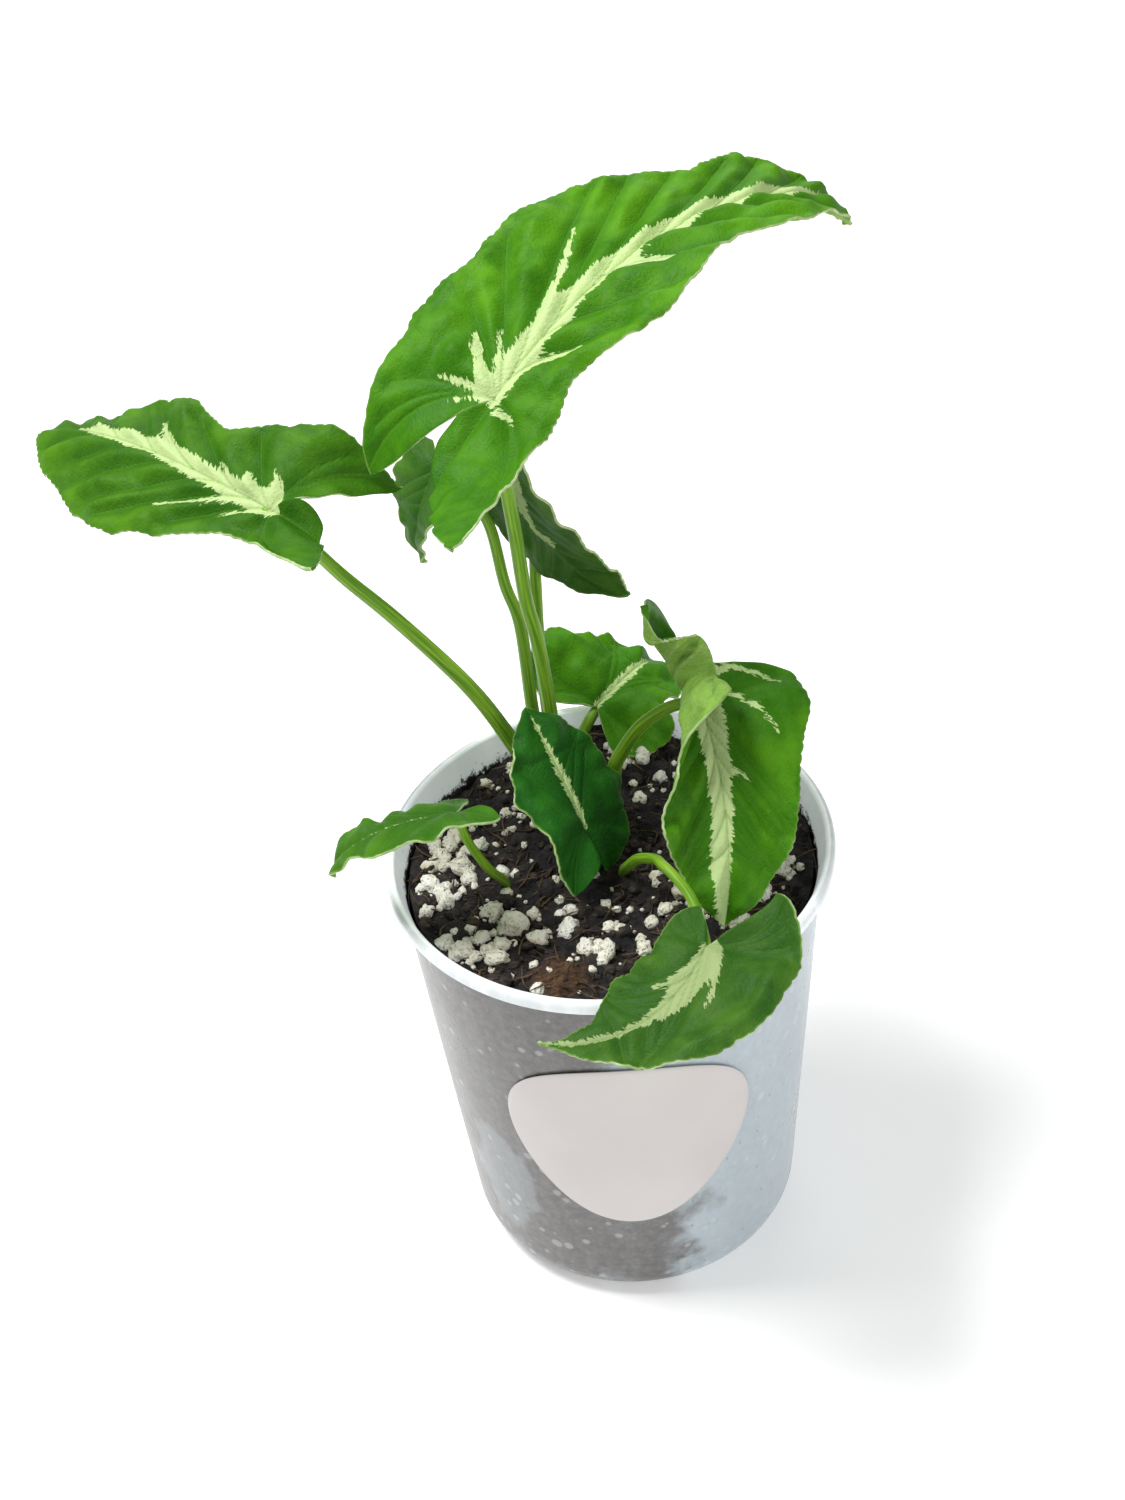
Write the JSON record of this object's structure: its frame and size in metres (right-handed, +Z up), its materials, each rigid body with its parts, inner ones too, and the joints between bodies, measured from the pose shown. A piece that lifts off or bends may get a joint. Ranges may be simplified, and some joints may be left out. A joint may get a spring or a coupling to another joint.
{
  "type": "potted syngonium wendlandii",
  "caption": "Small arrowhead vine with velvety, pale-veined leaves on slim stalks, growing in peat and perlite in a frosted nursery pot with a blank label.",
  "frame": {"origin": "centre of the underside of the pot, where it rests", "axes": "+Z up along the pot; -Y is the front, with the label; +X to the right as seen from the front"},
  "size_m": [0.1659, 0.144, 0.2128],
  "materials": {
    "clear_plastic": "frosted translucent, soft sheen, dark wet mix showing through",
    "potting_mix": "moist dark fibrous peat with cream-white perlite grains, rough",
    "label_paper": "blank, smooth, satin, warm white",
    "leaf_bright": "velvety, light green with a cream midrib stripe, paler underneath",
    "leaf_green": "velvety, mid green with a cream midrib stripe, paler underneath",
    "leaf_dark": "velvety, dark green with a narrow cream midrib stripe, paler underneath",
    "leaf_stalk": "smooth, finely striped light green, semi-matte"
  },
  "bodies": {
    "root": {"nursery_pot": "clear_plastic", "potting_mix": "potting_mix", "front_label": "label_paper", "leaf_top": "leaf_bright", "stalk_top": "leaf_stalk", "leaf_left": "leaf_green", "stalk_left": "leaf_stalk", "leaf_behind": "leaf_dark", "stalk_behind": "leaf_stalk", "leaf_narrow": "leaf_green", "stalk_narrow": "leaf_stalk", "leaf_middle": "leaf_dark", "stalk_middle": "leaf_stalk", "leaf_front": "leaf_dark", "stalk_front": "leaf_stalk", "leaf_edge": "leaf_bright", "stalk_edge": "leaf_stalk", "leaf_right": "leaf_green", "stalk_right": "leaf_stalk", "leaf_overhang": "leaf_green", "stalk_overhang": "leaf_stalk"}
  },
  "joints": []
}
